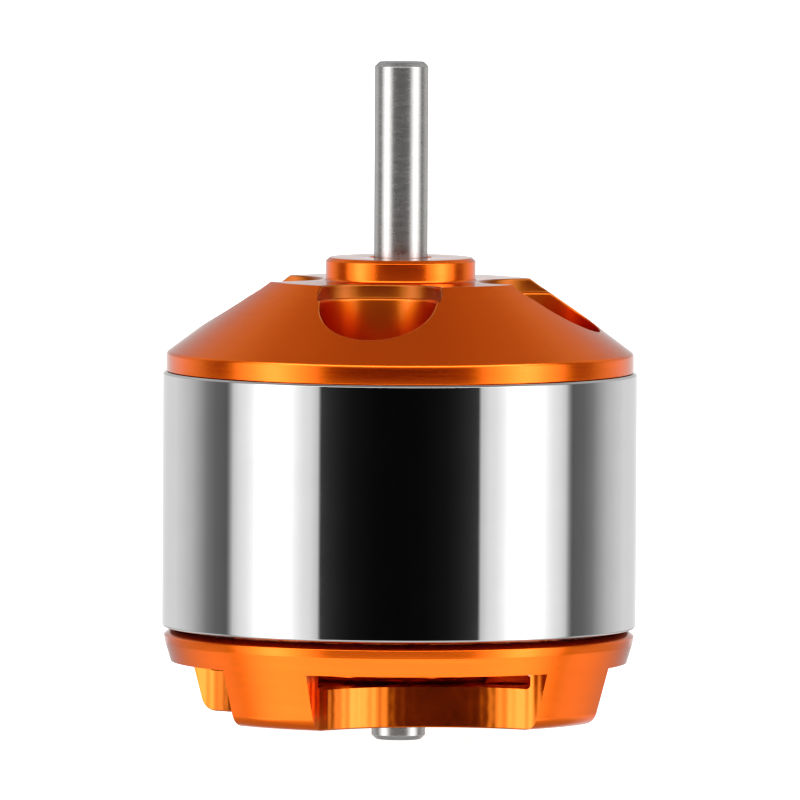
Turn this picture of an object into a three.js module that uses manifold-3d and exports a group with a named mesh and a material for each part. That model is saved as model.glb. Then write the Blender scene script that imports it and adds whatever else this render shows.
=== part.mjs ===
// Brushless outrunner motor: a fixed base and stator inside a turning can, bell and shaft.
// Millimetres. +Z runs up the shaft and z = 0 is the face that is screwed to a mount.
import * as THREE from "three";
import { mergeVertices } from "three/addons/utils/BufferGeometryUtils.js";
import Module from "manifold-3d";

const wasm = await Module();
wasm.setup();

// ---- driving sizes ----

const quarterTurns = [0, 90, 180, 270];
const slipFit = 0.01; // left between pieces that are pressed together
const endGap = 0.02; // left between faces that rest on one another
const runningGap = 0.25; // between the turning can and what stands still

const largeSides = 56;
const smallSides = 28;
const holeSides = 28;

const shaftRadius = 1.585;
const shaftBottom = -1.25;
const shaftTop = 38.8;
const shaftChamfer = 0.27;

const statorRadius = 11;
const stackHeight = 12;
const stackBottom = 6.6;
const stackTop = stackBottom + stackHeight;
const slotCount = 12;
const poleCount = 14;

const canRadius = 14;
const canBottom = 5.4;
const canTop = 20.48;
const magnetThickness = 1.43;
const magnetInner = statorRadius + runningGap;
const magnetOuter = magnetInner + magnetThickness;
const canInner = magnetOuter + 0.04;
const magnetHeight = 13;
const magnetGapAngle = 3.6;

const bellRimRadius = 13.8;
const bellRimBottom = canTop + endGap;
const bellRimTop = 21.6;
const bellFlatRadius = 8.03;
const bellFlatHeight = 25.9;
const collarRadius = 4.43;
const collarTop = 27.25;
const hubRadius = 4;
const hubBottom = 20.9;
const ceilingHeight = 22.2;
const ceilingRadius = 10;
const skirtInner = 11.6;
const spigotBottom = 19.6;
const ventRadius = 3.45;
const ventMouthRadius = 3.62;
const ventLedgeHeight = 24.85;
const ventCentre = 8.4;
const ventAngle = 27.8;

const canClearance = 0.13;
const baseTop = canBottom - canClearance;
const baseWidest = 13.9;
const baseLandTop = 4.93;
const baseLandBottom = 4.46;
const baseLandLean = 0.08;
const baseTaper = 0.3; // how far the side draws in for each millimetre down from the land
const baseTopBevel = 0.42;
const baseFloor = 2.4;
const rimInner = 12.2;
const tubeRadius = 4.5;
const tubeRootRadius = 5.2;
const windowTop = 3.37;
const windowRadius = 8.8;
const windowCentre = 16.6;
const windowAngle = 45;
const screwHoleRadius = 1.25;
const closeScrewCentre = 8; // two screws 16 mm apart along X
const wideScrewCentre = 9.5; // two screws 19 mm apart along Y

const bearingOuter = 3.5;
const bearingWidth = 3;
const seatRadius = bearingOuter + 0.02;
const frontBearingTop = 20.4;
const rearBearingBottom = 0.95;
const ballRadius = 0.5;
const ballCount = 7;
const ballPitch = (shaftRadius + bearingOuter) / 2;

const clipThickness = 0.6;
const clipBottom = 0.13;
const clipGrooveRadius = 1.15;
const washerThickness = 0.18;

// ---- materials ----

function metal(name, color, roughness) {
  return new THREE.MeshStandardMaterial({ name, color, roughness, metalness: 1 });
}

const orangeAnodised = metal("orange_anodised", "#f07f1c", 0.32);
const polishedSteel = metal("polished_steel", "#c9ccd0", 0.08);
const groundSteel = metal("ground_steel", "#b9bcc0", 0.28);
const bearingSteel = metal("bearing_steel", "#b4b8bd", 0.2);
const springSteel = metal("spring_steel", "#4d4f52", 0.4);
const nickelPlate = metal("nickel_plate", "#c8c6be", 0.22);
const coreSteel = metal("core_steel", "#5d6166", 0.5);
const copperWire = metal("copper_wire", "#b5622c", 0.35);
const insulation = new THREE.MeshStandardMaterial({
  name: "insulation",
  color: "#22282b",
  roughness: 0.7,
  metalness: 0,
});

// ---- shaping helpers ----

function radians(degrees) {
  return THREE.MathUtils.degToRad(degrees);
}

function polar(radius, degrees) {
  return new THREE.Vector2(Math.cos(radians(degrees)), Math.sin(radians(degrees))).multiplyScalar(radius);
}

function arc(radius, fromDegrees, toDegrees, steps) {
  return Array.from({ length: steps + 1 }, (_, i) => {
    return polar(radius, THREE.MathUtils.lerp(fromDegrees, toDegrees, i / steps));
  });
}

// Corners are [radius, height, rounding]; one step makes the rounding a plain chamfer.
function roundedProfile(corners, steps) {
  return corners.flatMap(([x, y, rounding = 0], i) => {
    const corner = new THREE.Vector2(x, y);
    if (rounding === 0) return [corner];
    const before = corners.at(i - 1);
    const after = corners[(i + 1) % corners.length];
    const toBefore = new THREE.Vector2(before[0], before[1]).sub(corner).normalize();
    const toAfter = new THREE.Vector2(after[0], after[1]).sub(corner).normalize();
    const halfAngle = Math.acos(toBefore.dot(toAfter)) / 2;
    const reach = rounding / Math.tan(halfAngle);
    const centre = toBefore.clone().add(toAfter).normalize();
    centre.multiplyScalar(rounding / Math.sin(halfAngle)).add(corner);
    const start = toBefore.multiplyScalar(reach).add(corner).sub(centre);
    const end = toAfter.multiplyScalar(reach).add(corner).sub(centre);
    const sweep = Math.atan2(start.cross(end), start.dot(end));
    return Array.from({ length: steps + 1 }, (_, k) => {
      return start.clone().rotateAround(new THREE.Vector2(), (sweep * k) / steps).add(centre);
    });
  });
}

// A body turned about Z. The profile runs anticlockwise and either ends on the axis or closes.
function turned(corners, sides, steps = 1) {
  const profile = roundedProfile(corners, steps);
  const onAxis = profile[0].x === 0;
  if (!onAxis) profile.push(profile[0].clone());
  return new THREE.LatheGeometry(profile, sides).rotateX(Math.PI / 2);
}

function ring(inner, outer, bottom, top, sides) {
  return turned([[inner, bottom], [outer, bottom], [outer, top], [inner, top]], sides);
}

function drill(radius, bottom, top, centre = new THREE.Vector2(), sides = holeSides) {
  const hole = new THREE.CylinderGeometry(radius, radius, top - bottom, sides).rotateX(Math.PI / 2);
  return hole.translate(centre.x, centre.y, (bottom + top) / 2);
}

function plate(outline, bottom, top, holes = []) {
  const shape = new THREE.Shape(outline);
  shape.holes = holes.map((hole) => new THREE.Path(hole));
  const geometry = new THREE.ExtrudeGeometry(shape, { depth: top - bottom, bevelEnabled: false });
  return geometry.translate(0, 0, bottom);
}

function toSolid(geometry) {
  const bare = geometry.clone();
  bare.deleteAttribute("normal");
  bare.deleteAttribute("uv");
  const merged = mergeVertices(bare, 1e-5);
  const vertProperties = new Float32Array(merged.attributes.position.array);
  const triVerts = new Uint32Array(merged.index.array);
  return new wasm.Manifold(new wasm.Mesh({ numProp: 3, vertProperties, triVerts }));
}

function toGeometry(solid) {
  const { vertProperties, triVerts } = solid.getMesh();
  const indexed = new THREE.BufferGeometry();
  indexed.setAttribute("position", new THREE.BufferAttribute(new Float32Array(vertProperties), 3));
  indexed.setIndex(new THREE.BufferAttribute(new Uint32Array(triVerts), 1));
  const flat = indexed.toNonIndexed();
  flat.computeVertexNormals();
  return flat;
}

function cut(body, tools) {
  const remaining = tools.reduce((solid, tool) => solid.subtract(toSolid(tool)), toSolid(body));
  return toGeometry(remaining);
}

function join(bodies) {
  const whole = bodies.slice(1).reduce((solid, body) => solid.add(toSolid(body)), toSolid(bodies[0]));
  return toGeometry(whole);
}

// ---- rotor ----

// Steel shaft with a groove for the clip that keeps it from pulling out.
function shaft() {
  const grooveBottom = clipBottom - endGap;
  const grooveTop = clipBottom + clipThickness + endGap;
  return turned(
    [
      [0, shaftBottom],
      [shaftRadius, shaftBottom, shaftChamfer],
      [shaftRadius, grooveBottom],
      [clipGrooveRadius, grooveBottom],
      [clipGrooveRadius, grooveTop],
      [shaftRadius, grooveTop],
      [shaftRadius, shaftTop, shaftChamfer],
      [0, shaftTop],
    ],
    smallSides,
  );
}

// Conical front cover: a collar and hub on the shaft, a spigot inside the can, four stepped air holes.
function bell() {
  const boreRadius = shaftRadius + slipFit;
  const boreCountersink = 0.3;
  const spigotRadius = canInner - 0.03;
  const body = turned(
    [
      [boreRadius, hubBottom],
      [hubRadius, hubBottom, 0.2],
      [hubRadius, ceilingHeight],
      [ceilingRadius, ceilingHeight],
      [skirtInner, hubBottom],
      [skirtInner, spigotBottom],
      [spigotRadius, spigotBottom, 0.15],
      [spigotRadius, bellRimBottom],
      [bellRimRadius, bellRimBottom],
      [bellRimRadius, bellRimTop, 0.25],
      [bellFlatRadius, bellFlatHeight],
      [collarRadius, bellFlatHeight],
      [collarRadius, collarTop, 0.3],
      [boreRadius + boreCountersink, collarTop],
      [boreRadius, collarTop - boreCountersink],
    ],
    largeSides,
    2,
  );
  const vents = quarterTurns.flatMap((turn) => {
    const centre = polar(ventCentre, ventAngle + turn);
    return [
      drill(ventRadius, hubBottom + 0.1, collarTop, centre),
      drill(ventMouthRadius, ventLedgeHeight, collarTop, centre),
    ];
  });
  return cut(body, vents);
}

// Steel can that closes the magnetic circuit.
function fluxRing() {
  return turned(
    [
      [canInner, canBottom],
      [canRadius, canBottom, 0.16],
      [canRadius, canTop, 0.12],
      [canInner, canTop],
    ],
    largeSides,
    2,
  );
}

function magnet(index) {
  const pitch = 360 / poleCount;
  const half = (pitch - magnetGapAngle) / 2;
  const middle = canBottom + (spigotBottom - canBottom) / 2;
  const outline = [...arc(magnetInner, half, -half, 4), ...arc(magnetOuter, -half, half, 4)];
  const geometry = plate(outline, middle - magnetHeight / 2, middle + magnetHeight / 2);
  return geometry.rotateZ(radians(ventAngle + index * pitch));
}

// E-shaped clip: an open ring with three teeth that stand in the shaft's groove.
function retainingClip() {
  const outerRadius = 2.9;
  const backRadius = 1.95;
  const toothRadius = clipGrooveRadius + 0.02;
  const halfOpening = 45;
  const toothAngles = [72, 180, 288];
  const halfTooth = 20;
  const inner = toothAngles.toReversed().flatMap((angle) => {
    return [
      polar(backRadius, angle + halfTooth + 4),
      ...arc(toothRadius, angle + halfTooth, angle - halfTooth, 3),
      polar(backRadius, angle - halfTooth - 4),
    ];
  });
  const outline = [
    ...arc(outerRadius, halfOpening, 360 - halfOpening, 24),
    ...inner,
  ];
  return plate(outline, clipBottom, clipBottom + clipThickness);
}

function thinWasher(bottom, top) {
  return ring(shaftRadius + slipFit, 2.1, bottom, top, smallSides);
}

// ---- ball bearings ----

const landWidth = 0.3; // how deep a shield sits in the outer ring's end
const shieldSeatRadius = 3.1;
const outerLand = 2.88;
const innerLand = 2.06;
const grooveHalf = 0.45;
const grooveFloorHalf = 0.2;
const grooveSlack = 0.04;

function bearingOuterRing(bottom) {
  const top = bottom + bearingWidth;
  const middle = (bottom + top) / 2;
  const grooveRadius = ballPitch + ballRadius + grooveSlack;
  return turned(
    [
      [bearingOuter, bottom],
      [bearingOuter, top],
      [shieldSeatRadius, top],
      [shieldSeatRadius, top - landWidth],
      [outerLand, top - landWidth],
      [outerLand, middle + grooveHalf],
      [grooveRadius, middle + grooveFloorHalf],
      [grooveRadius, middle - grooveFloorHalf],
      [outerLand, middle - grooveHalf],
      [outerLand, bottom + landWidth],
      [shieldSeatRadius, bottom + landWidth],
      [shieldSeatRadius, bottom],
    ],
    smallSides,
  );
}

function bearingInnerRing(bottom) {
  const top = bottom + bearingWidth;
  const middle = (bottom + top) / 2;
  const grooveRadius = ballPitch - ballRadius - grooveSlack;
  const boreRadius = shaftRadius + slipFit;
  return turned(
    [
      [boreRadius, bottom],
      [innerLand, bottom],
      [innerLand, middle - grooveHalf],
      [grooveRadius, middle - grooveFloorHalf],
      [grooveRadius, middle + grooveFloorHalf],
      [innerLand, middle + grooveHalf],
      [innerLand, top],
      [boreRadius, top],
    ],
    smallSides,
  );
}

// The balls with the thin ribbon that spaces them.
function bearingBalls(bottom) {
  const middle = bottom + bearingWidth / 2;
  const halfRibbon = 0.16;
  const ribbon = ring(
    ballPitch - halfRibbon,
    ballPitch + halfRibbon,
    middle - ballRadius / 2,
    middle + ballRadius / 2,
    smallSides,
  );
  const balls = Array.from({ length: ballCount }, (_, i) => {
    const place = polar(ballPitch, (i * 360) / ballCount);
    return new THREE.SphereGeometry(ballRadius, 8, 6).rotateX(Math.PI / 2).translate(place.x, place.y, middle);
  });
  return join([ribbon, ...balls]);
}

function bearingShield(bottom) {
  return ring(innerLand + 0.1, shieldSeatRadius - slipFit * 2, bottom, bottom + 0.15, smallSides);
}

// ---- stator ----

// Base: hub plate, rim, four feet between four scalloped windows, and the tube for the bearings.
function baseMount() {
  const bottomRadius = baseWidest - baseLandLean - baseTaper * baseLandBottom;
  const tubeBore = 2.2;
  const body = turned(
    [
      [seatRadius, 0],
      [bottomRadius, 0, 1],
      [baseWidest - baseLandLean, baseLandBottom],
      [baseWidest, baseLandTop],
      [baseWidest - baseTopBevel, baseTop],
      [rimInner, baseTop],
      [rimInner, baseFloor],
      [tubeRootRadius, baseFloor],
      [tubeRootRadius, stackBottom - endGap],
      [tubeRadius, stackBottom - endGap],
      [tubeRadius, frontBearingTop],
      [seatRadius, frontBearingTop],
      [seatRadius, frontBearingTop - bearingWidth - endGap],
      [tubeBore, frontBearingTop - bearingWidth - endGap],
      [tubeBore, rearBearingBottom + bearingWidth + endGap],
      [seatRadius, rearBearingBottom + bearingWidth + endGap],
    ],
    largeSides,
    3,
  );
  const windows = quarterTurns.map((turn) => {
    return drill(windowRadius, -1, windowTop, polar(windowCentre, windowAngle + turn), largeSides);
  });
  const screwHoles = quarterTurns.map((turn) => {
    const centre = turn % 180 === 0 ? closeScrewCentre : wideScrewCentre;
    return drill(screwHoleRadius, -1, baseFloor + 1, polar(centre, turn), 20);
  });
  return cut(body, [...windows, ...screwHoles]);
}

// One tooth of the stack after another, each with a wide shoe facing the magnets.
function toothedOutline(toothHalf, shoeHalfAngle, tipRadius) {
  const hubRing = 6.2;
  const neckRadius = 9.7;
  const shoeRadius = 10.25;
  return Array.from({ length: slotCount }, (_, i) => {
    const turn = (i * 360) / slotCount;
    const tooth = [
      new THREE.Vector2(hubRing, -toothHalf),
      new THREE.Vector2(neckRadius, -toothHalf),
      polar(shoeRadius, -shoeHalfAngle),
      ...arc(tipRadius, -shoeHalfAngle, shoeHalfAngle, 4),
      polar(shoeRadius, shoeHalfAngle),
      new THREE.Vector2(neckRadius, toothHalf),
      new THREE.Vector2(hubRing, toothHalf),
    ];
    return tooth.map((point) => point.rotateAround(new THREE.Vector2(), radians(turn)));
  }).flat();
}

const toothHalf = 0.9;
const shoeHalfAngle = 11.8;
const endPlate = 0.3;

function statorCore() {
  const bore = arc(tubeRadius + slipFit * 2, 0, 360, largeSides).slice(1);
  return plate(toothedOutline(toothHalf, shoeHalfAngle, statorRadius), stackBottom, stackTop, [bore]);
}

function endInsulator(bottom) {
  const bore = arc(tubeRootRadius + 0.1, 0, 360, holeSides).slice(1);
  const tipRadius = statorRadius - 0.35;
  return plate(toothedOutline(toothHalf, shoeHalfAngle - 1, tipRadius), bottom, bottom + endPlate, [bore]);
}

// One winding: a band round its tooth that thickens outwards as the slot widens.
function coil(index) {
  const innerHalfWidth = toothHalf + 0.04;
  const thicknessNear = 0.62;
  const thicknessFar = 1.28;
  const endTurn = 1.15;
  const nearRadius = 6.45;
  const farRadius = 9.6;
  const windowHalfHeight = stackHeight / 2 + endPlate + endGap * 2;
  const outerHalfHeight = windowHalfHeight + endTurn;
  const outerHalfWidth = innerHalfWidth + thicknessNear;
  const corner = 0.45;
  const outline = [
    [-1, -1],
    [1, -1],
    [1, 1],
    [-1, 1],
  ].map(([side, end]) => [side * outerHalfWidth, end * outerHalfHeight, corner]);
  const opening = [
    new THREE.Vector2(-innerHalfWidth, -windowHalfHeight),
    new THREE.Vector2(innerHalfWidth, -windowHalfHeight),
    new THREE.Vector2(innerHalfWidth, windowHalfHeight),
    new THREE.Vector2(-innerHalfWidth, windowHalfHeight),
  ];
  const band = plate(roundedProfile(outline, 3), nearRadius, farRadius, [opening]);
  const position = band.attributes.position;
  const spread = (innerHalfWidth + thicknessFar) / outerHalfWidth;
  for (let i = 0; i < position.count; i += 1) {
    const onFarEnd = position.getZ(i) > (nearRadius + farRadius) / 2;
    const onOutline = Math.abs(position.getX(i)) > innerHalfWidth + 0.01;
    if (onFarEnd && onOutline) position.setX(i, position.getX(i) * spread);
  }
  band.rotateX(Math.PI / 2).rotateZ(Math.PI / 2);
  band.translate(0, 0, (stackBottom + stackTop) / 2);
  return band.rotateZ(radians((index * 360) / slotCount));
}

// ---- assembly ----

const motor = new THREE.Group();
motor.name = "outrunner_motor";

function add(name, geometry, material) {
  const mesh = new THREE.Mesh(geometry, material);
  mesh.name = name;
  motor.add(mesh);
}

function addBearing(place, bottom) {
  const shieldInset = 0.08;
  const shieldThickness = 0.15;
  const upperShield = bottom + bearingWidth - shieldInset - shieldThickness;
  add(`${place}_bearing_outer_ring`, bearingOuterRing(bottom), bearingSteel);
  add(`${place}_bearing_inner_ring`, bearingInnerRing(bottom), bearingSteel);
  add(`${place}_bearing_balls`, bearingBalls(bottom), bearingSteel);
  add(`${place}_bearing_upper_shield`, bearingShield(upperShield), springSteel);
  add(`${place}_bearing_lower_shield`, bearingShield(bottom + shieldInset), springSteel);
}

function numbered(prefix, index) {
  return `${prefix}_${String(index + 1).padStart(2, "0")}`;
}

add("shaft", shaft(), groundSteel);
add("bell", bell(), orangeAnodised);
add("flux_ring", fluxRing(), polishedSteel);
for (let i = 0; i < poleCount; i += 1) {
  add(numbered("magnet", i), magnet(i), nickelPlate);
}

const washerTop = rearBearingBottom - endGap;
add("hub_spacer", thinWasher(frontBearingTop + endGap, hubBottom - endGap), springSteel);
add("rear_washer", thinWasher(washerTop - washerThickness, washerTop), springSteel);
add("retaining_clip", retainingClip(), springSteel);

addBearing("front", frontBearingTop - bearingWidth);
addBearing("rear", rearBearingBottom);

add("base_mount", baseMount(), orangeAnodised);
add("stator_core", statorCore(), coreSteel);
add("upper_insulator", endInsulator(stackTop + endGap), insulation);
add("lower_insulator", endInsulator(stackBottom - endPlate - endGap), insulation);
for (let i = 0; i < slotCount; i += 1) {
  add(numbered("coil", i), coil(i), copperWire);
}

export default motor;
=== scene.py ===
"""Looks of a small brushless outrunner motor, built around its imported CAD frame.

Shapes are worked out in millimetres in the frame's own axes and turned into metres
when a mesh is made. Each turned, milled, wound or stamped piece has its own function.
"""

import math

import bpy
from mathutils import Matrix, Vector


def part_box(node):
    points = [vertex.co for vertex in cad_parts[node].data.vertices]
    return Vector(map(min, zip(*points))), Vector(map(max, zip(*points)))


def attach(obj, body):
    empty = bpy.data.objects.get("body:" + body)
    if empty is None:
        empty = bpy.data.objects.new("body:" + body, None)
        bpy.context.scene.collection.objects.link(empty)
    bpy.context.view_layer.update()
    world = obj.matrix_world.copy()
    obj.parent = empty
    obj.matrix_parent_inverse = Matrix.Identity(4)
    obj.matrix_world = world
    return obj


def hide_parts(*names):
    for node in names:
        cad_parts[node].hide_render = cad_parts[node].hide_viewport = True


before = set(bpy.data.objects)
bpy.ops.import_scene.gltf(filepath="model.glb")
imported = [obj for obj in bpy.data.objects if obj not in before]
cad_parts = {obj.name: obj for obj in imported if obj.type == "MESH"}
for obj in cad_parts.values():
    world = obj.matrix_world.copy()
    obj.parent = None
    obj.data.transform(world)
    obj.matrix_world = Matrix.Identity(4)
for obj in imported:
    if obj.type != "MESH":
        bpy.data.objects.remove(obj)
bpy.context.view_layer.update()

MM = 0.001
GAP = 0.02  # millimetres between pieces that meet
CREASE = 28  # degrees: faces that meet more steeply stay sharp


# ---- sizes, from the frame ----

def low(node):
    """Lowest corner of a CAD node, in millimetres."""
    return Vector(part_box(node)[0]) / MM


def high(node):
    """Highest corner of a CAD node, in millimetres."""
    return Vector(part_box(node)[1]) / MM


def radius_of(node):
    """Outer radius of a CAD node that is turned about the shaft."""
    return high(node).x


SHAFT_RADIUS = radius_of("shaft")
BORE_RADIUS = SHAFT_RADIUS + 0.01
SHAFT_BOTTOM = low("shaft").z
SHAFT_TOP = high("shaft").z

CAN_RADIUS = radius_of("flux_ring")
CAN_BOTTOM = low("flux_ring").z
CAN_TOP = high("flux_ring").z

BELL_RADIUS = CAN_RADIUS - 0.2
BELL_BOTTOM = low("bell").z
COLLAR_TOP = high("bell").z
RIM_BOTTOM = CAN_TOP + GAP
RIM_TOP = RIM_BOTTOM + 1.1
FLAT_HEIGHT = COLLAR_TOP - 1.35
FLAT_RADIUS = 8.03
COLLAR_RADIUS = 4.43
CONE_SLOPE = (FLAT_HEIGHT - RIM_TOP) / (BELL_RADIUS - FLAT_RADIUS)
HUB_BOTTOM = high("hub_spacer").z + GAP
CEILING_HEIGHT = FLAT_HEIGHT - 3.7

VENT_CENTRE = 8.4
VENT_RADIUS = 3.45
VENT_MOUTH_RADIUS = 3.68
VENT_LEDGE = FLAT_HEIGHT - 0.82
VENT_ANGLE = 27.8
BELL_TURN = math.radians(VENT_ANGLE)

BASE_RADIUS = high("base_mount").x
BASE_TOP = CAN_BOTTOM - 0.13
BASE_TOP_BEVEL = 0.42
BASE_LAND_TOP = BASE_TOP - 0.34
BASE_LAND_BOTTOM = BASE_TOP - 0.81
BASE_LAND_LEAN = 0.08
BASE_TAPER = 0.3
BASE_FLOOR = 2.4
TUBE_TOP = high("base_mount").z
TUBE_RADIUS = 4.5
WINDOW_TOP = 3.37
WINDOW_RADIUS = 8.8
WINDOW_CENTRE = 16.6
SCREW_REACHES = (8, 9.5)  # of the tapped holes from the shaft, along X and along Y

STACK_BOTTOM = low("stator_core").z
STACK_TOP = high("stator_core").z
STATOR_RADIUS = radius_of("stator_core")
SLOT_COUNT = 12
POLE_COUNT = 14

BEARING_RADIUS = radius_of("front_bearing_outer_ring")
BEARING_SEAT = BEARING_RADIUS + GAP
BALL_RADIUS = 0.5
BALL_PITCH = (SHAFT_RADIUS + BEARING_RADIUS) / 2
BALL_COUNT = 7

FINE = 256  # segments round the large turned pieces
FINEST = 384  # round the bell, whose cone shows long reflections
MEDIUM = 96  # round the small ones


# ---- mesh helpers ----

def polar(radius, angle, z=0.0):
    """Point at an angle in radians."""
    return Vector((radius * math.cos(angle), radius * math.sin(angle), z))


def rounded(corners, steps=6):
    """Profile points from corners given as (radius, height, rounding)."""
    points = []
    for i, corner in enumerate(corners):
        here = Vector(corner[:2])
        rounding = corner[2] if len(corner) > 2 else 0
        if rounding == 0:
            points.append(here)
            continue
        before = (Vector(corners[i - 1][:2]) - here).normalized()
        after = (Vector(corners[(i + 1) % len(corners)][:2]) - here).normalized()
        half_angle = before.angle(after) / 2
        centre = here + (before + after).normalized() * rounding / math.sin(half_angle)
        start = here + before * rounding / math.tan(half_angle) - centre
        end = here + after * rounding / math.tan(half_angle) - centre
        sweep = math.atan2(start.cross(end), start.dot(end))
        for k in range(steps + 1):
            points.append(centre + Matrix.Rotation(sweep * k / steps, 2) @ start)
    return points


def mesh_object(name, points, faces, crease=CREASE):
    """A smooth-shaded object from points in millimetres, kept sharp where faces meet steeply."""
    mesh = bpy.data.meshes.new(name)
    mesh.from_pydata([tuple(Vector(p) * MM) for p in points], [], faces)
    mesh.validate()
    mesh.shade_smooth()
    mesh.set_sharp_from_angle(angle=math.radians(crease))
    made = bpy.data.objects.new(name, mesh)
    bpy.context.scene.collection.objects.link(made)
    return made


def even_normals(piece):
    """Lets large faces set the shading, so that roundings don't bend it."""
    modifier = piece.modifiers.new("even_normals", "WEIGHTED_NORMAL")
    modifier.keep_sharp = True
    return piece


def turned(name, corners, segments=MEDIUM, steps=6):
    """A piece turned on a lathe about the shaft's axis, from a profile that runs anticlockwise."""
    profile = rounded(corners, steps)
    points = []
    starts = []
    for point in profile:
        starts.append(len(points))
        if abs(point.x) < 1e-9:
            points.append(Vector((0, 0, point.y)))
            continue
        for k in range(segments):
            points.append(polar(point.x, math.tau * k / segments, point.y))
    on_axis = [abs(point.x) < 1e-9 for point in profile]
    faces = []
    last = len(profile) - 1
    for i in range(len(profile)):
        j = (i + 1) % len(profile)
        if i == last and on_axis[i]:
            break
        for k in range(segments):
            n = (k + 1) % segments
            a, b = starts[i] + k, starts[i] + n
            c, d = starts[j] + n, starts[j] + k
            if on_axis[i]:
                faces.append((starts[i], c, d))
            elif on_axis[j]:
                faces.append((a, b, starts[j]))
            else:
                faces.append((a, b, c, d))
    return mesh_object(name, points, faces)


def lofted(name, loops, crease=CREASE):
    """A closed body through loops of equal length, from the lowest up, closed by flat ends."""
    count = len(loops[0])
    points = [point for loop in loops for point in loop]
    faces = [tuple(reversed(range(count)))]
    for i in range(len(loops) - 1):
        for k in range(count):
            n = (k + 1) % count
            a, b = i * count, (i + 1) * count
            faces.append((a + k, a + n, b + n, b + k))
    top = (len(loops) - 1) * count
    faces.append(tuple(range(top, top + count)))
    return mesh_object(name, points, faces, crease)


def joined(name, parts):
    """One object from several that don't touch."""
    points = []
    faces = []
    for part in parts:
        start = len(points)
        points += [vertex.co / MM for vertex in part.data.vertices]
        faces += [tuple(start + v for v in polygon.vertices) for polygon in part.data.polygons]
        discard(part)
    return mesh_object(name, points, faces)


def discard(part):
    """Deletes an object and its mesh."""
    mesh = part.data
    bpy.data.objects.remove(part)
    bpy.data.meshes.remove(mesh)


def settled(piece):
    """The piece with its modifiers worked into its mesh."""
    evaluated = piece.evaluated_get(bpy.context.evaluated_depsgraph_get())
    mesh = bpy.data.meshes.new_from_object(evaluated)
    piece.modifiers.clear()
    old = piece.data
    piece.data = mesh
    bpy.data.meshes.remove(old)
    mesh.shade_smooth()
    mesh.set_sharp_from_angle(angle=math.radians(CREASE))
    return piece


def carved(piece, cutters):
    """The piece with the cutters taken away from it."""
    for cutter in cutters:
        modifier = piece.modifiers.new("carve", "BOOLEAN")
        modifier.operation = "DIFFERENCE"
        modifier.solver = "EXACT"
        modifier.material_mode = "TRANSFER"
        modifier.object = cutter
    settled(piece)
    for cutter in cutters:
        discard(cutter)
    return piece


def finish_piece(piece, material, body, *nodes):
    """Gives a piece its material and its body, and hides the CAD nodes that it stands for."""
    if not piece.data.materials:
        piece.data.materials.append(material)
    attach(piece, body)
    if nodes:
        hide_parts(*nodes)


# ---- materials ----

def add_node(material, kind, **settings):
    """A node in the material's tree, with the settings given."""
    node = material.node_tree.nodes.new(kind)
    for key, value in settings.items():
        setattr(node, key, value)
    return node


def new_material(slot, color, metallic, roughness, coat=0.0, coat_roughness=0.1, edge=(1, 1, 1)):
    """A principled material for one of the record's slots. Edge tints what is seen at a slant."""
    material = bpy.data.materials.new(f"{slot}_finish")
    material["slot"] = slot
    material.use_nodes = True
    shader = material.node_tree.nodes["Principled BSDF"]
    shader.inputs["Base Color"].default_value = (*color, 1)
    shader.inputs["Metallic"].default_value = metallic
    shader.inputs["Roughness"].default_value = roughness
    shader.inputs["Coat Weight"].default_value = coat
    shader.inputs["Coat Roughness"].default_value = coat_roughness
    shader.inputs["Specular Tint"].default_value = (*edge, 1)
    return material


def around_axis(material, stretch=0.02):
    """Texture place that runs along the turning marks: radius, height and a little of the angle."""
    link = material.node_tree.links.new
    place = add_node(material, "ShaderNodeTexCoord")
    split = add_node(material, "ShaderNodeSeparateXYZ")
    flat = add_node(material, "ShaderNodeVectorMath", operation="MULTIPLY")
    flat.inputs[1].default_value = (1, 1, 0)
    radius = add_node(material, "ShaderNodeVectorMath", operation="LENGTH")
    angle = add_node(material, "ShaderNodeMath", operation="ARCTAN2")
    along = add_node(material, "ShaderNodeMath", operation="MULTIPLY")
    along.inputs[1].default_value = stretch * MM
    joined_place = add_node(material, "ShaderNodeCombineXYZ")
    link(place.outputs["Object"], split.inputs[0])
    link(place.outputs["Object"], flat.inputs[0])
    link(flat.outputs["Vector"], radius.inputs[0])
    link(split.outputs["Y"], angle.inputs[0])
    link(split.outputs["X"], angle.inputs[1])
    link(angle.outputs[0], along.inputs[0])
    link(radius.outputs["Value"], joined_place.inputs["X"])
    link(along.outputs[0], joined_place.inputs["Y"])
    link(split.outputs["Z"], joined_place.inputs["Z"])
    return joined_place.outputs[0]


def anywhere(material):
    """Texture place in the piece's own space."""
    return add_node(material, "ShaderNodeTexCoord").outputs["Object"]


def noise(material, place, size, detail):
    """Noise whose features are about size millimetres wide."""
    texture = add_node(material, "ShaderNodeTexNoise")
    texture.inputs["Scale"].default_value = 1 / (size * MM)
    texture.inputs["Detail"].default_value = detail
    texture.inputs["Roughness"].default_value = 0.6
    material.node_tree.links.new(place, texture.inputs["Vector"])
    return texture.outputs["Fac"]


def vary(material, socket, source, lowest, highest):
    """Drives a shader value between two limits by a texture."""
    spread = add_node(material, "ShaderNodeMapRange")
    spread.inputs["From Min"].default_value = 0.3
    spread.inputs["From Max"].default_value = 0.7
    spread.inputs["To Min"].default_value = lowest
    spread.inputs["To Max"].default_value = highest
    shader = material.node_tree.nodes["Principled BSDF"]
    material.node_tree.links.new(source, spread.inputs["Value"])
    material.node_tree.links.new(spread.outputs["Result"], shader.inputs[socket])


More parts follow.
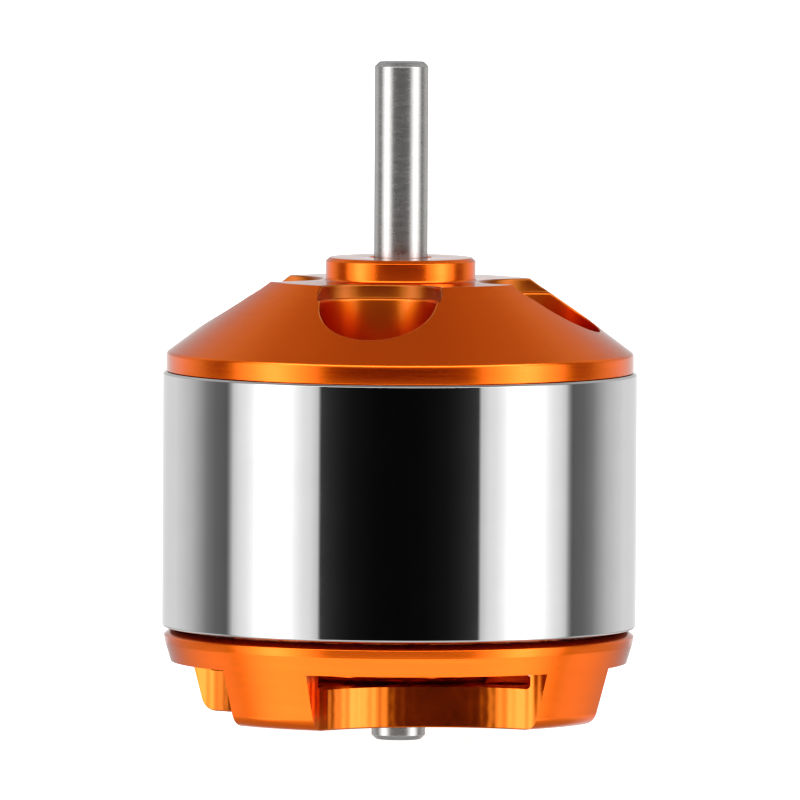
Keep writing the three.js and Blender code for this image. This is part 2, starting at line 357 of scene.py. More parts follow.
def tint(material, source, dark, light):
    """Drives the base colour between two tones by a texture."""
    ramp = add_node(material, "ShaderNodeValToRGB")
    ramp.color_ramp.elements[0].position = 0.3
    ramp.color_ramp.elements[0].color = (*dark, 1)
    ramp.color_ramp.elements[1].position = 0.7
    ramp.color_ramp.elements[1].color = (*light, 1)
    shader = material.node_tree.nodes["Principled BSDF"]
    material.node_tree.links.new(source, ramp.inputs["Fac"])
    material.node_tree.links.new(ramp.outputs["Color"], shader.inputs["Base Color"])


def peaks(material, source, start, full):
    """Only the high parts of a texture, for scattered scratches."""
    clip = add_node(material, "ShaderNodeMapRange")
    clip.inputs["From Min"].default_value = start
    clip.inputs["From Max"].default_value = full
    material.node_tree.links.new(source, clip.inputs["Value"])
    return clip.outputs["Result"]


def emboss(material, source, depth, strength, after=None):
    """Raises the surface by a texture, depth in millimetres."""
    bump = add_node(material, "ShaderNodeBump")
    bump.inputs["Distance"].default_value = depth * MM
    bump.inputs["Strength"].default_value = strength
    shader = material.node_tree.nodes["Principled BSDF"]
    material.node_tree.links.new(source, bump.inputs["Height"])
    if after is not None:
        material.node_tree.links.new(after.outputs["Normal"], bump.inputs["Normal"])
    material.node_tree.links.new(bump.outputs["Normal"], shader.inputs["Normal"])
    return bump


ORANGE_DYE = (0.95, 0.142, 0.011)
ORANGE_EDGE = (0.55, 0.45, 0.4)  # dulls what the turned faces reflect at a slant


def dyed_metal(tone, roughness, edge=(1, 1, 1)):
    """Dyed aluminium under a thin clear oxide."""
    material = new_material("orange_anodised", tone, 1.0, roughness, 1.0, 0.12, edge)
    material.node_tree.nodes["Principled BSDF"].inputs["Coat IOR"].default_value = 1.2
    return material


def anodised_orange():
    """Turned and orange-dyed aluminium, with fine rings and short streaks."""
    material = dyed_metal(ORANGE_DYE, 0.23, ORANGE_EDGE)
    rings = around_axis(material)
    streaks = around_axis(material, 0.3)
    tint(material, noise(material, rings, 0.5, 4), (0.93, 0.136, 0.010), (0.96, 0.148, 0.012))
    vary(material, "Roughness", noise(material, streaks, 0.2, 3), 0.2, 0.26)
    turned_rings = emboss(material, noise(material, rings, 0.14, 2), 0.0009, 0.5)
    scratches = peaks(material, noise(material, streaks, 0.09, 2), 0.6, 0.72)
    emboss(material, scratches, 0.0016, 0.6, turned_rings)
    return material


def cut_orange(tone, roughness):
    """The same dyed aluminium, without turning rings, where a hole or window was cut. Its tone is set
    darker than the turned faces, as painted shade on these walls.
    """
    material = dyed_metal(tone, roughness)
    patches = noise(material, anywhere(material), 1.8, 3)
    tint(material, patches, Vector(tone) * 0.97, Vector(tone) * 1.03)
    vary(material, "Roughness", patches, roughness - 0.015, roughness + 0.015)
    emboss(material, noise(material, anywhere(material), 0.3, 2), 0.0002, 0.3)
    return material


def polished_steel():
    """The can: bright and smooth, with faint handling marks."""
    material = new_material("polished_steel", (0.45, 0.45, 0.45), 1.0, 0.04)
    marks = noise(material, anywhere(material), 2.5, 5)
    tint(material, marks, (0.44, 0.44, 0.44), (0.46, 0.46, 0.46))
    vary(material, "Roughness", marks, 0.03, 0.055)
    emboss(material, noise(material, around_axis(material), 0.6, 2), 0.0002, 0.3)
    return material


def raw_shaded_steel():
    """The can's unpolished inside and lower face: rough, and dark as painted shade, which keeps light
    from bouncing in the gap over the base.
    """
    material = new_material("polished_steel", (0.1, 0.1, 0.1), 1.0, 0.5)
    mottle = noise(material, anywhere(material), 0.8, 4)
    tint(material, mottle, (0.08, 0.08, 0.08), (0.13, 0.125, 0.12))
    vary(material, "Roughness", mottle, 0.45, 0.6)
    emboss(material, noise(material, around_axis(material), 0.12, 2), 0.002, 0.4)
    return material


def ground_steel():
    """The shaft: centreless-ground, with a soft sheen broken by fine rings."""
    material = new_material("ground_steel", (0.44, 0.43, 0.42), 1.0, 0.26, edge=(0.6, 0.6, 0.6))
    grinding = around_axis(material, 0.3)
    vary(material, "Roughness", noise(material, grinding, 0.25, 4), 0.24, 0.29)
    tint(material, noise(material, grinding, 0.6, 4), (0.42, 0.41, 0.4), (0.46, 0.45, 0.44))
    emboss(material, noise(material, grinding, 0.09, 2), 0.0012, 0.5)
    return material


def bearing_steel():
    """Hardened ring steel, ground and oiled."""
    material = new_material("bearing_steel", (0.55, 0.56, 0.57), 1.0, 0.12, 0.3, 0.05)
    vary(material, "Roughness", noise(material, around_axis(material), 0.15, 3), 0.08, 0.2)
    emboss(material, noise(material, around_axis(material), 0.08, 2), 0.0008, 0.5)
    return material


def spring_steel():
    """Blued and oiled stamped steel."""
    material = new_material("spring_steel", (0.1, 0.1, 0.105), 1.0, 0.35, 0.4, 0.2)
    blotches = noise(material, anywhere(material), 0.5, 5)
    tint(material, blotches, (0.07, 0.07, 0.075), (0.17, 0.165, 0.16))
    vary(material, "Roughness", blotches, 0.25, 0.48)
    emboss(material, noise(material, anywhere(material), 0.08, 3), 0.002, 0.5)
    return material


def nickel_plate():
    """Plated magnets: warm bright skin with a slight orange-peel."""
    material = new_material("nickel_plate", (0.66, 0.62, 0.55), 1.0, 0.2)
    skin = noise(material, anywhere(material), 0.4, 4)
    tint(material, skin, (0.6, 0.56, 0.49), (0.7, 0.66, 0.59))
    vary(material, "Roughness", skin, 0.16, 0.3)
    emboss(material, noise(material, anywhere(material), 0.15, 3), 0.003, 0.4)
    return material


def core_steel():
    """Stacked laminations under dark varnish."""
    material = new_material("core_steel", (0.06, 0.065, 0.07), 0.7, 0.45, 0.5, 0.25)
    drips = noise(material, anywhere(material), 0.8, 5)
    tint(material, drips, (0.035, 0.04, 0.045), (0.1, 0.105, 0.11))
    vary(material, "Roughness", drips, 0.35, 0.6)
    emboss(material, noise(material, anywhere(material), 0.2, 4), 0.006, 0.5)
    return material


def copper_wire():
    """Enamelled copper under a glossy varnish."""
    material = new_material("copper_wire", (0.72, 0.24, 0.07), 1.0, 0.22, 1.0, 0.08)
    enamel = noise(material, anywhere(material), 0.7, 4)
    tint(material, enamel, (0.55, 0.15, 0.04), (0.8, 0.3, 0.1))
    vary(material, "Roughness", enamel, 0.16, 0.3)
    emboss(material, noise(material, anywhere(material), 0.1, 3), 0.002, 0.4)
    return material


def insulation():
    """Dark fibre-filled end plates."""
    material = new_material("insulation", (0.015, 0.018, 0.02), 0.0, 0.6)
    fibre = noise(material, anywhere(material), 0.15, 6)
    tint(material, fibre, (0.01, 0.012, 0.014), (0.035, 0.04, 0.042))
    vary(material, "Roughness", fibre, 0.5, 0.75)
    emboss(material, fibre, 0.008, 0.5)
    return material


ORANGE = anodised_orange()
# Cut faces: darker copies of the orange as painted shade; the windows a little darker, the vent holes
# more, the vents' mouths darkest.
MILLED = cut_orange((0.75, 0.15, 0.015), 0.19)
BORED = cut_orange((0.68, 0.14, 0.015), 0.32)
SUNK = cut_orange((0.33, 0.075, 0.01), 0.36)
POLISHED = polished_steel()
RAW_SHADED = raw_shaded_steel()
GROUND = ground_steel()
BEARING = bearing_steel()
SPRING = spring_steel()
NICKEL = nickel_plate()
CORE = core_steel()
COPPER = copper_wire()
INSULATION = insulation()


# ---- rotor ----

def make_shaft():
    """Plain shaft with chamfered ends and the clip's groove."""
    chamfer = 0.27
    softening = 0.05
    groove_radius = 1.15
    groove_bottom = low("retaining_clip").z - GAP
    groove_top = high("retaining_clip").z + GAP
    shaft = turned(
        "shaft_body",
        [
            (0, SHAFT_BOTTOM),
            (SHAFT_RADIUS - chamfer, SHAFT_BOTTOM, softening),
            (SHAFT_RADIUS, SHAFT_BOTTOM + chamfer, softening),
            (SHAFT_RADIUS, groove_bottom),
            (groove_radius, groove_bottom),
            (groove_radius, groove_top),
            (SHAFT_RADIUS, groove_top),
            (SHAFT_RADIUS, SHAFT_TOP - chamfer, softening),
            (SHAFT_RADIUS - chamfer, SHAFT_TOP, softening),
            (0, SHAFT_TOP),
        ],
        MEDIUM,
        4,
    )
    finish_piece(even_normals(shaft), GROUND, "rotor", "shaft")


def bell_surface(radius):
    """Height of the bell's flat and cone at a distance from the shaft's axis."""
    return FLAT_HEIGHT - CONE_SLOPE * max(0, radius - FLAT_RADIUS)


def vent_cutter(name, angle, radius, bottom, ceiling, steps):
    """Round cutter whose top edge is broken where it leaves the bell's surface or the ledge."""
    edge = 0.16
    corner = 0.08
    centre = polar(VENT_CENTRE, angle)
    levels = []
    for k in range(steps):
        outward = polar(1, math.tau * k / steps)
        surface = bell_surface((centre + outward * radius).length)
        top = max(min(surface, ceiling), bottom + edge + 2 * corner)
        slope = 0
        if surface < ceiling:
            beyond = bell_surface((centre + outward * (radius + edge)).length)
            slope = (beyond - surface) / edge
        section = [
            (radius - corner, bottom),
            (radius - corner * 0.3, bottom + corner * 0.3),
            (radius, bottom + corner),
        ]
        for turn in (0, 0.2, 0.4, 0.6, 0.8):
            spread = edge * turn ** 2
            section.append((radius + spread, top - edge * (1 - turn) ** 2 + slope * spread))
        section.append((section[-1][0], COLLAR_TOP + 1))
        levels.append([centre + outward * place + Vector((0, 0, height)) for place, height in section])
    return lofted(name, [list(level) for level in zip(*levels)])


def make_bell():
    """Conical cover with its collar, hub, spigot and four stepped air holes."""
    spigot_radius = CAN_RADIUS - 1.31
    hub_radius = 4
    ceiling_reach = 10
    spigot_inside = 11.6
    bell = turned(
        "bell_shell",
        [
            (BORE_RADIUS, HUB_BOTTOM, 0.08),
            (hub_radius, HUB_BOTTOM, 0.25),
            (hub_radius, CEILING_HEIGHT, 0.3),
            (ceiling_reach, CEILING_HEIGHT, 0.3),
            (spigot_inside, HUB_BOTTOM, 0.2),
            (spigot_inside, BELL_BOTTOM, 0.1),
            (spigot_radius, BELL_BOTTOM, 0.15),
            (spigot_radius, RIM_BOTTOM),
            (BELL_RADIUS, RIM_BOTTOM, 0.06),
            (BELL_RADIUS, RIM_TOP, 0.28),
            (FLAT_RADIUS, FLAT_HEIGHT, 0.12),
            (COLLAR_RADIUS, FLAT_HEIGHT, 0.2),
            (COLLAR_RADIUS, COLLAR_TOP - 0.2, 0.06),
            (COLLAR_RADIUS - 0.22, COLLAR_TOP, 0.08),
            (BORE_RADIUS + 0.28, COLLAR_TOP, 0.03),
            (BORE_RADIUS, COLLAR_TOP - 0.3, 0.03),
        ],
        FINEST,
    )
    bell.data.materials.append(ORANGE)
    vents = []
    for k in range(4):
        angle = BELL_TURN + k * math.pi / 2
        hole = vent_cutter(f"vent_{k}", angle, VENT_RADIUS, HUB_BOTTOM + 0.2, VENT_LEDGE, 144)
        mouth = vent_cutter(f"mouth_{k}", angle, VENT_MOUTH_RADIUS, VENT_LEDGE, COLLAR_TOP, 150)
        hole.data.materials.append(BORED)
        mouth.data.materials.append(SUNK)
        vents += [hole, mouth]
    carved(bell, vents)
    finish_piece(even_normals(bell), ORANGE, "rotor", "bell")


def make_can():
    """Polished can with a bevelled top edge and a rolled lower edge."""
    inner = CAN_RADIUS - 1.28
    can = turned(
        "can_shell",
        [
            (inner, CAN_BOTTOM, 0.08),
            (CAN_RADIUS, CAN_BOTTOM, 0.16),
            (CAN_RADIUS, CAN_TOP - 0.12, 0.05),
            (CAN_RADIUS - 0.12, CAN_TOP, 0.05),
            (inner, CAN_TOP, 0.05),
        ],
        FINE,
    )
    can.data.materials.append(POLISHED)
    # the inside and lower faces take the dark steel: painted shade
    can.data.materials.append(RAW_SHADED)
    for face in can.data.polygons:
        inside = face.center.xy.length < (CAN_RADIUS - 0.2) * MM
        if inside and face.center.z < (CAN_TOP - 0.2) * MM:
            face.material_index = 1
    finish_piece(even_normals(can), POLISHED, "rotor", "flux_ring")


def inset(outline, distance):
    """The outline drawn in by a distance, for small edge roundings. It runs anticlockwise."""
    moved = []
    for i, here in enumerate(outline):
        before = (here - outline[i - 1]).normalized()
        after = (outline[(i + 1) % len(outline)] - here).normalized()
        inward = Vector((-before.y - after.y, before.x + after.x, 0))
        inward.normalize()
        lean = max(0.4, inward.dot(Vector((-before.y, before.x, 0))))
        moved.append(here + inward * distance / lean)
    return moved


def raised(outline, height):
    """The outline at a height."""
    return [Vector((point.x, point.y, height)) for point in outline]


def stamped(name, outline, bottom, top, edge):
    """A flat stamped piece with softened edges."""
    narrow = inset(outline, edge)
    loops = [
        raised(narrow, bottom),
        raised(outline, bottom + edge),
        raised(outline, top - edge),
        raised(narrow, top),
    ]
    return lofted(name, loops)


def arc(radius, start, end, steps):
    """Points on an arc about the shaft's axis, angles in degrees."""
    return [
        polar(radius, math.radians(start + (end - start) * k / steps)) for k in range(steps + 1)
    ]


def make_clip():
    """E-shaped clip with three teeth in the shaft's groove."""
    outer, back, tooth = 2.9, 1.95, 1.17
    half_tooth, lean = 20, 4
    outline = arc(outer, 45, 315, 54)
    for middle in (288, 180, 72):
        outline.append(polar(back, math.radians(middle + half_tooth + lean)))
        outline += arc(tooth, middle + half_tooth, middle - half_tooth, 8)
        outline.append(polar(back, math.radians(middle - half_tooth - lean)))
    clip = stamped(
        "e_clip", outline, low("retaining_clip").z, high("retaining_clip").z, 0.06
    )
    finish_piece(even_normals(clip), SPRING, "rotor", "retaining_clip")


def make_washer(name, node):
    """Flat washer with softened edges."""
    bottom, top = low(node).z, high(node).z
    outer = radius_of(node)
    inner = BORE_RADIUS
    edge = (top - bottom) / 5
    washer = turned(
        name,
        [(inner, bottom, edge), (outer, bottom, edge), (outer, top, edge), (inner, top, edge)],
        MEDIUM,
        3,
    )
    finish_piece(even_normals(washer), SPRING, "rotor", node)


def soften(node, width, material):
    """Rounds the edges of a CAD node whose shape is right, and gives it its material."""
    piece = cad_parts[node]
    bevel = piece.modifiers.new("softened_edges", "BEVEL")
    bevel.width = width * MM
    bevel.segments = 3
    bevel.limit_method = "ANGLE"
    bevel.angle_limit = math.radians(40)
    even_normals(piece)
    piece.data.materials.clear()
    piece.data.materials.append(material)
    piece.data.shade_smooth()
    piece.data.set_sharp_from_angle(angle=math.radians(40))


# ---- ball bearings ----

def make_bearing(place):
    """Both rings, the shields and the balls in their cage, for one bearing."""
    outer_node = f"{place}_bearing_outer_ring"
    inner_node = f"{place}_bearing_inner_ring"
    bottom, top = low(outer_node).z, high(outer_node).z
    middle = (bottom + top) / 2
    seat, land, inner_land = 3.1, 2.88, 2.06
    shelf = 0.3
    groove = 0.45
    outer_groove = BALL_PITCH + BALL_RADIUS + 0.04
    inner_groove = BALL_PITCH - BALL_RADIUS - 0.04
    edge = 0.14
    outer_ring = turned(
        f"{place}_outer_race",
        [
            (BEARING_RADIUS, bottom, edge),
            (BEARING_RADIUS, top, edge),
            (seat, top, 0.04),
            (seat, top - shelf),
            (land, top - shelf, 0.04),
            (land, middle + groove, 0.03),
            (outer_groove, middle + groove / 3, 0.2),
            (outer_groove, middle - groove / 3, 0.2),
            (land, middle - groove, 0.03),
            (land, bottom + shelf, 0.04),
            (seat, bottom + shelf),
            (seat, bottom, 0.04),
        ],
        MEDIUM,
        4,
    )
    inner_ring = turned(
        f"{place}_inner_race",
        [
            (BORE_RADIUS, bottom, edge),
            (inner_land, bottom, 0.05),
            (inner_land, middle - groove, 0.03),
            (inner_groove, middle - groove / 3, 0.2),
            (inner_groove, middle + groove / 3, 0.2),
            (inner_land, middle + groove, 0.03),
            (inner_land, top, 0.05),
            (BORE_RADIUS, top, edge),
        ],
        MEDIUM,
        4,
    )
    finish_piece(even_normals(outer_ring), BEARING, "stator", outer_node)
    finish_piece(even_normals(inner_ring), BEARING, "rotor", inner_node)
    for side, outward in (("lower", -1), ("upper", 1)):
        make_shield(place, side, outward)
    make_balls(place, middle)


def make_shield(place, side, outward):
    """Pressed shield: a flat annulus with a dished inner part, proud side outwards."""
    node = f"{place}_bearing_{side}_shield"
    outer = radius_of(node)
    inner = 2.16
    inside = low(node).z if outward > 0 else high(node).z
    outside = high(node).z if outward > 0 else low(node).z
    dish = (outside - inside) * 0.35
    profile = [
        (inner, inside + dish),
        (inner + 0.25, inside + dish),
        (inner + 0.35, inside),
        (outer, inside),
        (outer, outside - dish),
        (inner + 0.45, outside - dish),
        (inner + 0.3, outside),
        (inner, outside),
    ]
    if outward < 0:
        profile.reverse()
    shield = turned(f"{place}_{side}_shield", profile, MEDIUM)
    finish_piece(even_normals(shield), SPRING, "stator", node)


def ball(name, centre, radius):
    """A bearing ball as a body turned through its centre."""
    steps = 16
    points = [
        (radius * math.sin(math.pi * k / steps), -radius * math.cos(math.pi * k / steps))
        for k in range(1, steps)
    ]
    sphere = turned(name, [(0, -radius), *points, (0, radius)], 24)
    sphere.data.transform(Matrix.Translation(centre * MM))
    return sphere


def make_balls(place, middle):
    """Seven balls in a crown cage that is open on one side."""
    centres = [
        polar(BALL_PITCH, math.tau * k / BALL_COUNT, middle) for k in range(BALL_COUNT)
    ]
    half_width = 0.16
    bottom, top = middle - 0.74, middle + 0.25
    cage = turned(
        f"{place}_cage",
        [
            (BALL_PITCH - half_width, bottom),
            (BALL_PITCH + half_width, bottom),
            (BALL_PITCH + half_width, top),
            (BALL_PITCH - half_width, top),
        ],
    )
    pockets = [
        ball(f"{place}_pocket_{k}", centre, BALL_RADIUS + GAP)
        for k, centre in enumerate(centres)
    ]
    carved(cage, pockets)
    balls = [ball(f"{place}_ball_{k}", centre, BALL_RADIUS) for k, centre in enumerate(centres)]
    whole = joined(f"{place}_balls_in_cage", [cage, *balls])
    finish_piece(whole, BEARING, f"{place}_balls", f"{place}_bearing_balls")


# ---- stator ----

def window_cutter(name, angle):
    """Milled scallop with faint upright tool marks, chamfered at the mounting face."""
    edge = 0.08
    steps = 720
    centre = polar(WINDOW_CENTRE, angle)
    heights = [-1, -0.2, 0, edge] + [0.3 * k for k in range(1, 11)] + [WINDOW_TOP]
    loops = []
    for height in heights:
        flare = max(0, edge - height)
        loop = []
        for k in range(steps):
            turn = math.tau * k / steps
            drift = 0.5 * math.sin(6.5 * height + 5 * turn)
            mark = 0.0035 * math.sin(91 * turn + drift) + 0.003 * math.sin(62 * turn - drift + 1)
            loop.append(centre + polar(WINDOW_RADIUS + flare + mark, turn, height))
        loops.append(loop)
    return lofted(name, loops)


def tapped_cutter(name, centre):
    """M3 hole through the floor with its thread's ridges and a countersunk mouth."""
    core, crest, pitch = 1.25, 1.48, 0.5
    steps = 48
    sections = [(crest + 1.1, -1), (crest + 0.1, 0), (core, crest + 0.1 - core)]
    height = sections[-1][1] + 0.1
    while height < BASE_FLOOR - pitch:
        sections += [(core, height), (crest, height + pitch / 2)]
        height += pitch
    sections += [(core, height), (core, BASE_FLOOR + 0.5)]
    loops = [
        [centre + polar(reach, math.tau * k / steps, level) for k in range(steps)]
        for reach, level in sections
    ]
    return lofted(name, loops, 20)


def make_base():
    """Base with rim, feet, scalloped windows, tapped holes and the bearing tube."""
    bottom_radius = BASE_RADIUS - BASE_LAND_LEAN - BASE_TAPER * BASE_LAND_BOTTOM
    front_seat = low("front_bearing_outer_ring").z - GAP
    rear_seat = high("rear_bearing_outer_ring").z + GAP
    shoulder = STACK_BOTTOM - GAP
    rim_inside = 12.2
    tube_foot = 5.2
    shaft_hole = 2.2
    base = turned(
        "base_body",
        [
            (BEARING_SEAT, 0, 0.1),
            (bottom_radius, 0, 1.0),
            (BASE_RADIUS - BASE_LAND_LEAN, BASE_LAND_BOTTOM, 0.05),
            (BASE_RADIUS, BASE_LAND_TOP, 0.07),
            (BASE_RADIUS - BASE_TOP_BEVEL, BASE_TOP, 0.04),
            (rim_inside, BASE_TOP, 0.1),
            (rim_inside, BASE_FLOOR, 0.3),
            (tube_foot, BASE_FLOOR, 0.3),
            (tube_foot, shoulder),
            (TUBE_RADIUS, shoulder),
            (TUBE_RADIUS, TUBE_TOP, 0.15),
            (BEARING_SEAT, TUBE_TOP, 0.1),
            (BEARING_SEAT, front_seat),
            (shaft_hole, front_seat),
            (shaft_hole, rear_seat),
            (BEARING_SEAT, rear_seat),
        ],
        FINE,
    )
    cutters = []
    for k in range(4):
        quarter = k * math.pi / 2
        cutters.append(window_cutter(f"window_{k}", quarter + math.pi / 4))
        cutters.append(tapped_cutter(f"tapped_{k}", polar(SCREW_REACHES[k % 2], quarter)))
    base.data.materials.append(ORANGE)
    for cutter in cutters:
        cutter.data.materials.append(MILLED)
    carved(base, cutters)
    finish_piece(even_normals(base), ORANGE, "stator", "base_mount")


def lamination_outline():
    """Twelve teeth with wide shoes, one after another."""
    tooth_half, shoe_half = 0.9, math.radians(11.8)
    tooth_root, tooth_end, shoe_back = 6.2, 9.7, 10.25
    outline = []
    for k in range(SLOT_COUNT):
        spin = Matrix.Rotation(math.tau * k / SLOT_COUNT, 3, "Z")
        tooth = [
            Vector((tooth_root, -tooth_half, 0)),
            Vector((tooth_end, -tooth_half, 0)),
            polar(shoe_back, -shoe_half),
            *[polar(STATOR_RADIUS, shoe_half * (s / 4 - 1)) for s in range(9)],
            polar(shoe_back, shoe_half),
            Vector((tooth_end, tooth_half, 0)),
            Vector((tooth_root, tooth_half, 0)),
        ]
        outline += [spin @ point for point in tooth]
    return outline


def make_core():
    """Stack of thin laminations with a hairline groove between each pair."""
    sheets = 24
    gap = 0.03
    pitch = (STACK_TOP - STACK_BOTTOM) / sheets
    outline = lamination_outline()
    narrow = inset(outline, 0.03)
    loops = []
    for k in range(sheets):
        bottom = STACK_BOTTOM + k * pitch
        loops.append(raised(narrow, bottom))
        loops.append(raised(outline, bottom + gap))
        loops.append(raised(outline, bottom + pitch - gap))
    loops.append(raised(narrow, STACK_TOP))
    core = lofted("lamination_stack", loops)
    bore = [
        [polar(TUBE_RADIUS + GAP, math.tau * k / MEDIUM, z) for k in range(MEDIUM)]
        for z in (STACK_BOTTOM - 1, STACK_TOP + 1)
    ]
    carved(core, [lofted("stack_bore", bore)])
    finish_piece(core, CORE, "stator", "stator_core")


def wire_path():
    """Middle line of one winding about +X: out along the tooth in one layer, back in a second."""
    wire = 0.5
    half_width = 0.95 + wire / 2
    half_height = (STACK_TOP - STACK_BOTTOM) / 2 + 0.36 + wire / 2
    first, last = 6.74, 9.3
    layer_turns = (6, 3)
    per_corner = 5
    points = []
    reach = first
    for layer, turns in enumerate(layer_turns):
        outward = 1 if layer == 0 else -1
        step = outward * (last - first) / (layer_turns[0] - 0.5) / (4 * per_corner)
        grow = layer * wire * 0.9
        for k in range(turns * 4 * per_corner):
            quarter = (k // per_corner) % 4
            turn = math.pi / 2 * (quarter + (k % per_corner) / (per_corner - 1))
            side = 1 if quarter in (0, 3) else -1
            end = 1 if quarter in (0, 1) else -1
            bend = 0.34 + grow
            across = side * (half_width + grow - bend) + bend * math.cos(turn)
            up = end * (half_height + grow - bend) + bend * math.sin(turn)
            points.append(Vector((reach, across, up)))
            reach += step
    return points


def make_coil(index):
    """Enamelled wire wound round one tooth."""
    thickness = 0.235
    sides = 8
    path = wire_path()
    spin = Matrix.Rotation(math.tau * index / SLOT_COUNT, 3, "Z")
    lift = Vector((0, 0, (STACK_BOTTOM + STACK_TOP) / 2))
    loops = []
    for i, here in enumerate(path):
        ahead = path[min(i + 1, len(path) - 1)] - path[max(i - 1, 0)]
        outward = Vector((1, 0, 0))
        across = ahead.cross(outward).normalized()
        loop = []
        for k in range(sides):
            turn = math.tau * k / sides
            offset = across * math.cos(turn) + outward * math.sin(turn)
            loop.append(spin @ (here + offset * thickness) + lift)
        loops.append(loop)
    coil = lofted(f"winding_{index + 1:02d}", loops, 80)
    finish_piece(coil, COPPER, "stator", f"coil_{index + 1:02d}")


make_shaft()
make_bell()
make_can()
make_clip()
make_washer("spacer_ring", "hub_spacer")
make_washer("thrust_washer", "rear_washer")
for pole in range(POLE_COUNT):
    soften(f"magnet_{pole + 1:02d}", 0.12, NICKEL)

make_bearing("front")
make_bearing("rear")

make_base()
make_core()
soften("upper_insulator", 0.05, INSULATION)
soften("lower_insulator", 0.05, INSULATION)
for tooth in range(SLOT_COUNT):
    make_coil(tooth)


# ---- stage ----

CAMERA_AZIMUTH = math.radians(36.7)
CAMERA_ELEVATION = math.radians(3.45)
CAMERA_DISTANCE = 1.25
CAMERA_ROLL = math.radians(0.3)
LOOK_HEIGHT = 18.8  # millimetres above the mounting face
FRAME_WIDTH = 47.23  # millimetres across the picture at the shaft


def make_floor():
    """Wide pale floor just under the stub, glowing like a light table."""
    extent = 8 / MM
    height = SHAFT_BOTTOM - GAP
    corners = [
        Vector((x * extent, y * extent, height)) for x, y in ((-1, -1), (1, -1), (1, 1), (-1, 1))
    ]
    floor = mesh_object("floor", corners, [(0, 1, 2, 3)])
    material = new_material("pale_floor", (0.7, 0.7, 0.7), 0.0, 0.8)
    tint(material, noise(material, anywhere(material), 40, 3), (0.69, 0.69, 0.69), (0.71, 0.71, 0.71))
    shader = material.node_tree.nodes["Principled BSDF"]
    shader.inputs["Emission Color"].default_value = (1, 1, 1, 1)
    shader.inputs["Emission Strength"].default_value = 0.95
    floor.data.materials.append(material)
    floor.visible_glossy = False


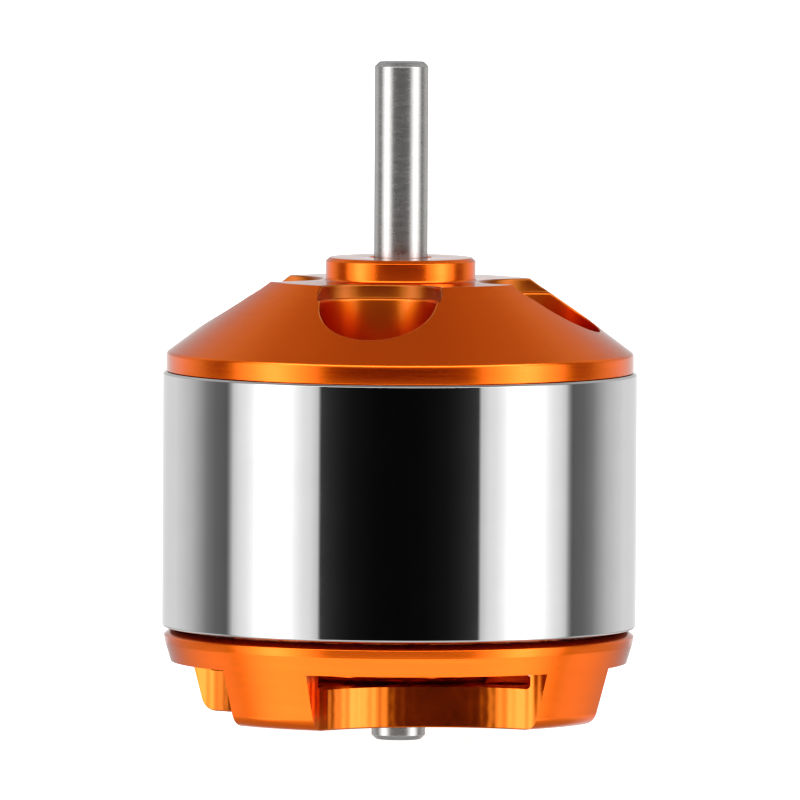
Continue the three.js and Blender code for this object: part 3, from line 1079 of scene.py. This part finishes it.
def make_world():
    """Soft white studio. What shines sees its panels: dark at the front, white at both sides."""
    world = bpy.data.worlds.new("studio")
    world.use_nodes = True
    world.cycles.sampling_method = "NONE"
    bpy.context.scene.world = world
    tree = world.node_tree
    tree.nodes.clear()
    link = tree.links.new

    place = tree.nodes.new("ShaderNodeTexCoord")
    turn = tree.nodes.new("ShaderNodeVectorRotate")
    turn.rotation_type = "Z_AXIS"
    turn.inputs["Angle"].default_value = math.pi / 2 - CAMERA_AZIMUTH
    split = tree.nodes.new("ShaderNodeSeparateXYZ")
    angle = tree.nodes.new("ShaderNodeMath")
    angle.operation = "ARCTAN2"
    size = tree.nodes.new("ShaderNodeMath")
    size.operation = "ABSOLUTE"
    share = tree.nodes.new("ShaderNodeMath")
    share.operation = "DIVIDE"
    share.inputs[1].default_value = math.pi
    link(place.outputs["Generated"], turn.inputs["Vector"])
    link(turn.outputs[0], split.inputs[0])
    link(split.outputs["Y"], angle.inputs[0])
    link(split.outputs["X"], angle.inputs[1])
    link(angle.outputs[0], size.inputs[0])
    link(size.outputs[0], share.inputs[0])

    def ramp(stops, source):
        """Brightness along a row of (place from 0 to 1, brightness)."""
        node = tree.nodes.new("ShaderNodeValToRGB")
        elements = node.color_ramp.elements
        while len(elements) < len(stops):
            elements.new(0.5)
        for element, (position, value) in zip(elements, stops):
            element.position = position
            element.color = (value, value, value, 1)
        link(source, node.inputs["Fac"])
        return node.outputs["Color"]

    def mixed(factor, first, second, blend="MIX"):
        """One brightness from two."""
        node = tree.nodes.new("ShaderNodeMix")
        node.data_type = "RGBA"
        node.blend_type = blend
        node.inputs["Factor"].default_value = 1
        if factor is not None:
            link(factor, node.inputs["Factor"])
        link(first, node.inputs["A"])
        link(second, node.inputs["B"])
        return node.outputs["Result"]

    # brightness round the horizon: the camera's side is at 0 degrees, the far side at 180
    panels = ramp(
        [(degrees / 180, value) for degrees, value in (
            (0, 0.014), (12, 0.018), (23, 0.032), (30, 0.056), (36, 0.09), (39, 0.12),
            (40, 1.1), (44, 1.5), (48, 1.65), (52, 2.0), (58, 2.9), (65, 3.8), (71, 3.2),
            (76, 2.1), (80, 1.75), (85, 1.5), (88.5, 1.2), (91, 0.5), (93, 0.2), (101, 0.24),
            (108, 0.37), (115, 0.66), (122, 0.93), (131, 1.1), (141, 1.2), (160, 1.0), (180, 1.0),
        )],
        share.outputs[0],
    )
    height = tree.nodes.new("ShaderNodeMapRange")
    height.inputs["From Min"].default_value = -1
    height.inputs["From Max"].default_value = 1
    link(split.outputs["Z"], height.inputs["Value"])

    def over_height(stops):
        """Brightness over the height angle, as a row of (degrees, brightness)."""
        rise = [((1 + math.sin(math.radians(degrees))) / 2, value) for degrees, value in stops]
        return ramp(rise, height.outputs["Result"])

    back_height = over_height(
        [(-8, 0.6), (-6, 1), (0, 1), (6, 0.7), (20, 0.74), (30, 0.7), (40, 0.6), (53, 0.4), (66, 0.34)]
    )
    behind = ramp([(0.6, 0), (0.75, 1)], share.outputs[0])
    faded = mixed(behind, panels, mixed(None, panels, back_height, "MULTIPLY"))

    # how high the panels stand: a low black card ahead, tall panels beside, the backdrop beyond
    ahead = over_height([(-10, 0), (-7, 1), (1, 1), (6, 0)])
    beside = over_height([(-30, 0), (-25, 1), (34, 1), (38, 0)])
    beyond = over_height([(-13, 0), (-8, 1), (66, 1), (76, 0)])
    near_half = mixed(ramp([(0.18, 0), (0.24, 1)], share.outputs[0]), ahead, beside)
    far_half = ramp([(0.5, 0), (0.56, 1)], share.outputs[0])
    in_panels = mixed(far_half, near_half, beyond)

    # the rest of the studio: the lit table, a wide soft light above the camera and the ceiling
    near_rest = over_height([
        (-90, 0.6), (-44, 0.8), (-39, 2.3), (-31, 2.0), (-27, 0.5), (36, 0.5), (40, 4.5), (55, 4.5),
        (60, 0.36),
    ])
    far_rest = over_height(
        [(-90, 0.5), (-36, 0.6), (-30, 1.0), (-24, 1.2), (-14, 0.7), (0, 0.7), (30, 0.34), (90, 0.36)]
    )
    floor_and_ceiling = mixed(far_half, near_rest, far_rest)
    studio = mixed(in_panels, floor_and_ceiling, faded)

    rays = tree.nodes.new("ShaderNodeLightPath")
    seen = tree.nodes.new("ShaderNodeMix")
    seen.data_type = "RGBA"
    seen.inputs["A"].default_value = (1.06, 1.06, 1.06, 1)
    link(rays.outputs["Is Glossy Ray"], seen.inputs["Factor"])
    link(studio, seen.inputs["B"])
    light = tree.nodes.new("ShaderNodeBackground")
    out = tree.nodes.new("ShaderNodeOutputWorld")
    link(seen.outputs["Result"], light.inputs["Color"])
    link(light.outputs[0], out.inputs["Surface"])


def make_camera():
    """Long lens, a little above the motor and turned to the photographed side."""
    target = Vector((0, 0, LOOK_HEIGHT)) * MM
    heading = CAMERA_AZIMUTH - math.pi / 2
    outward = Vector((
        math.cos(heading) * math.cos(CAMERA_ELEVATION),
        math.sin(heading) * math.cos(CAMERA_ELEVATION),
        math.sin(CAMERA_ELEVATION),
    ))
    data = bpy.data.cameras.new("camera")
    data.sensor_width = 36
    data.lens = data.sensor_width * CAMERA_DISTANCE / (FRAME_WIDTH * MM)
    data.clip_end = 100
    camera = bpy.data.objects.new("camera", data)
    turn = outward.to_track_quat("Z", "Y").to_matrix().to_4x4()
    roll = Matrix.Rotation(CAMERA_ROLL, 4, "Z")
    camera.matrix_world = Matrix.Translation(target + outward * CAMERA_DISTANCE) @ turn @ roll
    bpy.context.scene.collection.objects.link(camera)
    bpy.context.scene.camera = camera


def set_tone():
    """Deep shades are held down as a camera does, which keeps the orange full."""
    view = bpy.context.scene.view_settings
    view.view_transform = "Standard"
    view.use_curve_mapping = True
    curve = view.curve_mapping.curves[3]
    knee = 0.1
    for shade in (0.01, 0.02, 0.035, 0.05, 0.07, knee):
        point = curve.points.new(shade, knee * (shade / knee) ** 1.5)
        point.handle_type = "VECTOR"
    view.curve_mapping.update()


make_floor()
make_world()
make_camera()
set_tone()
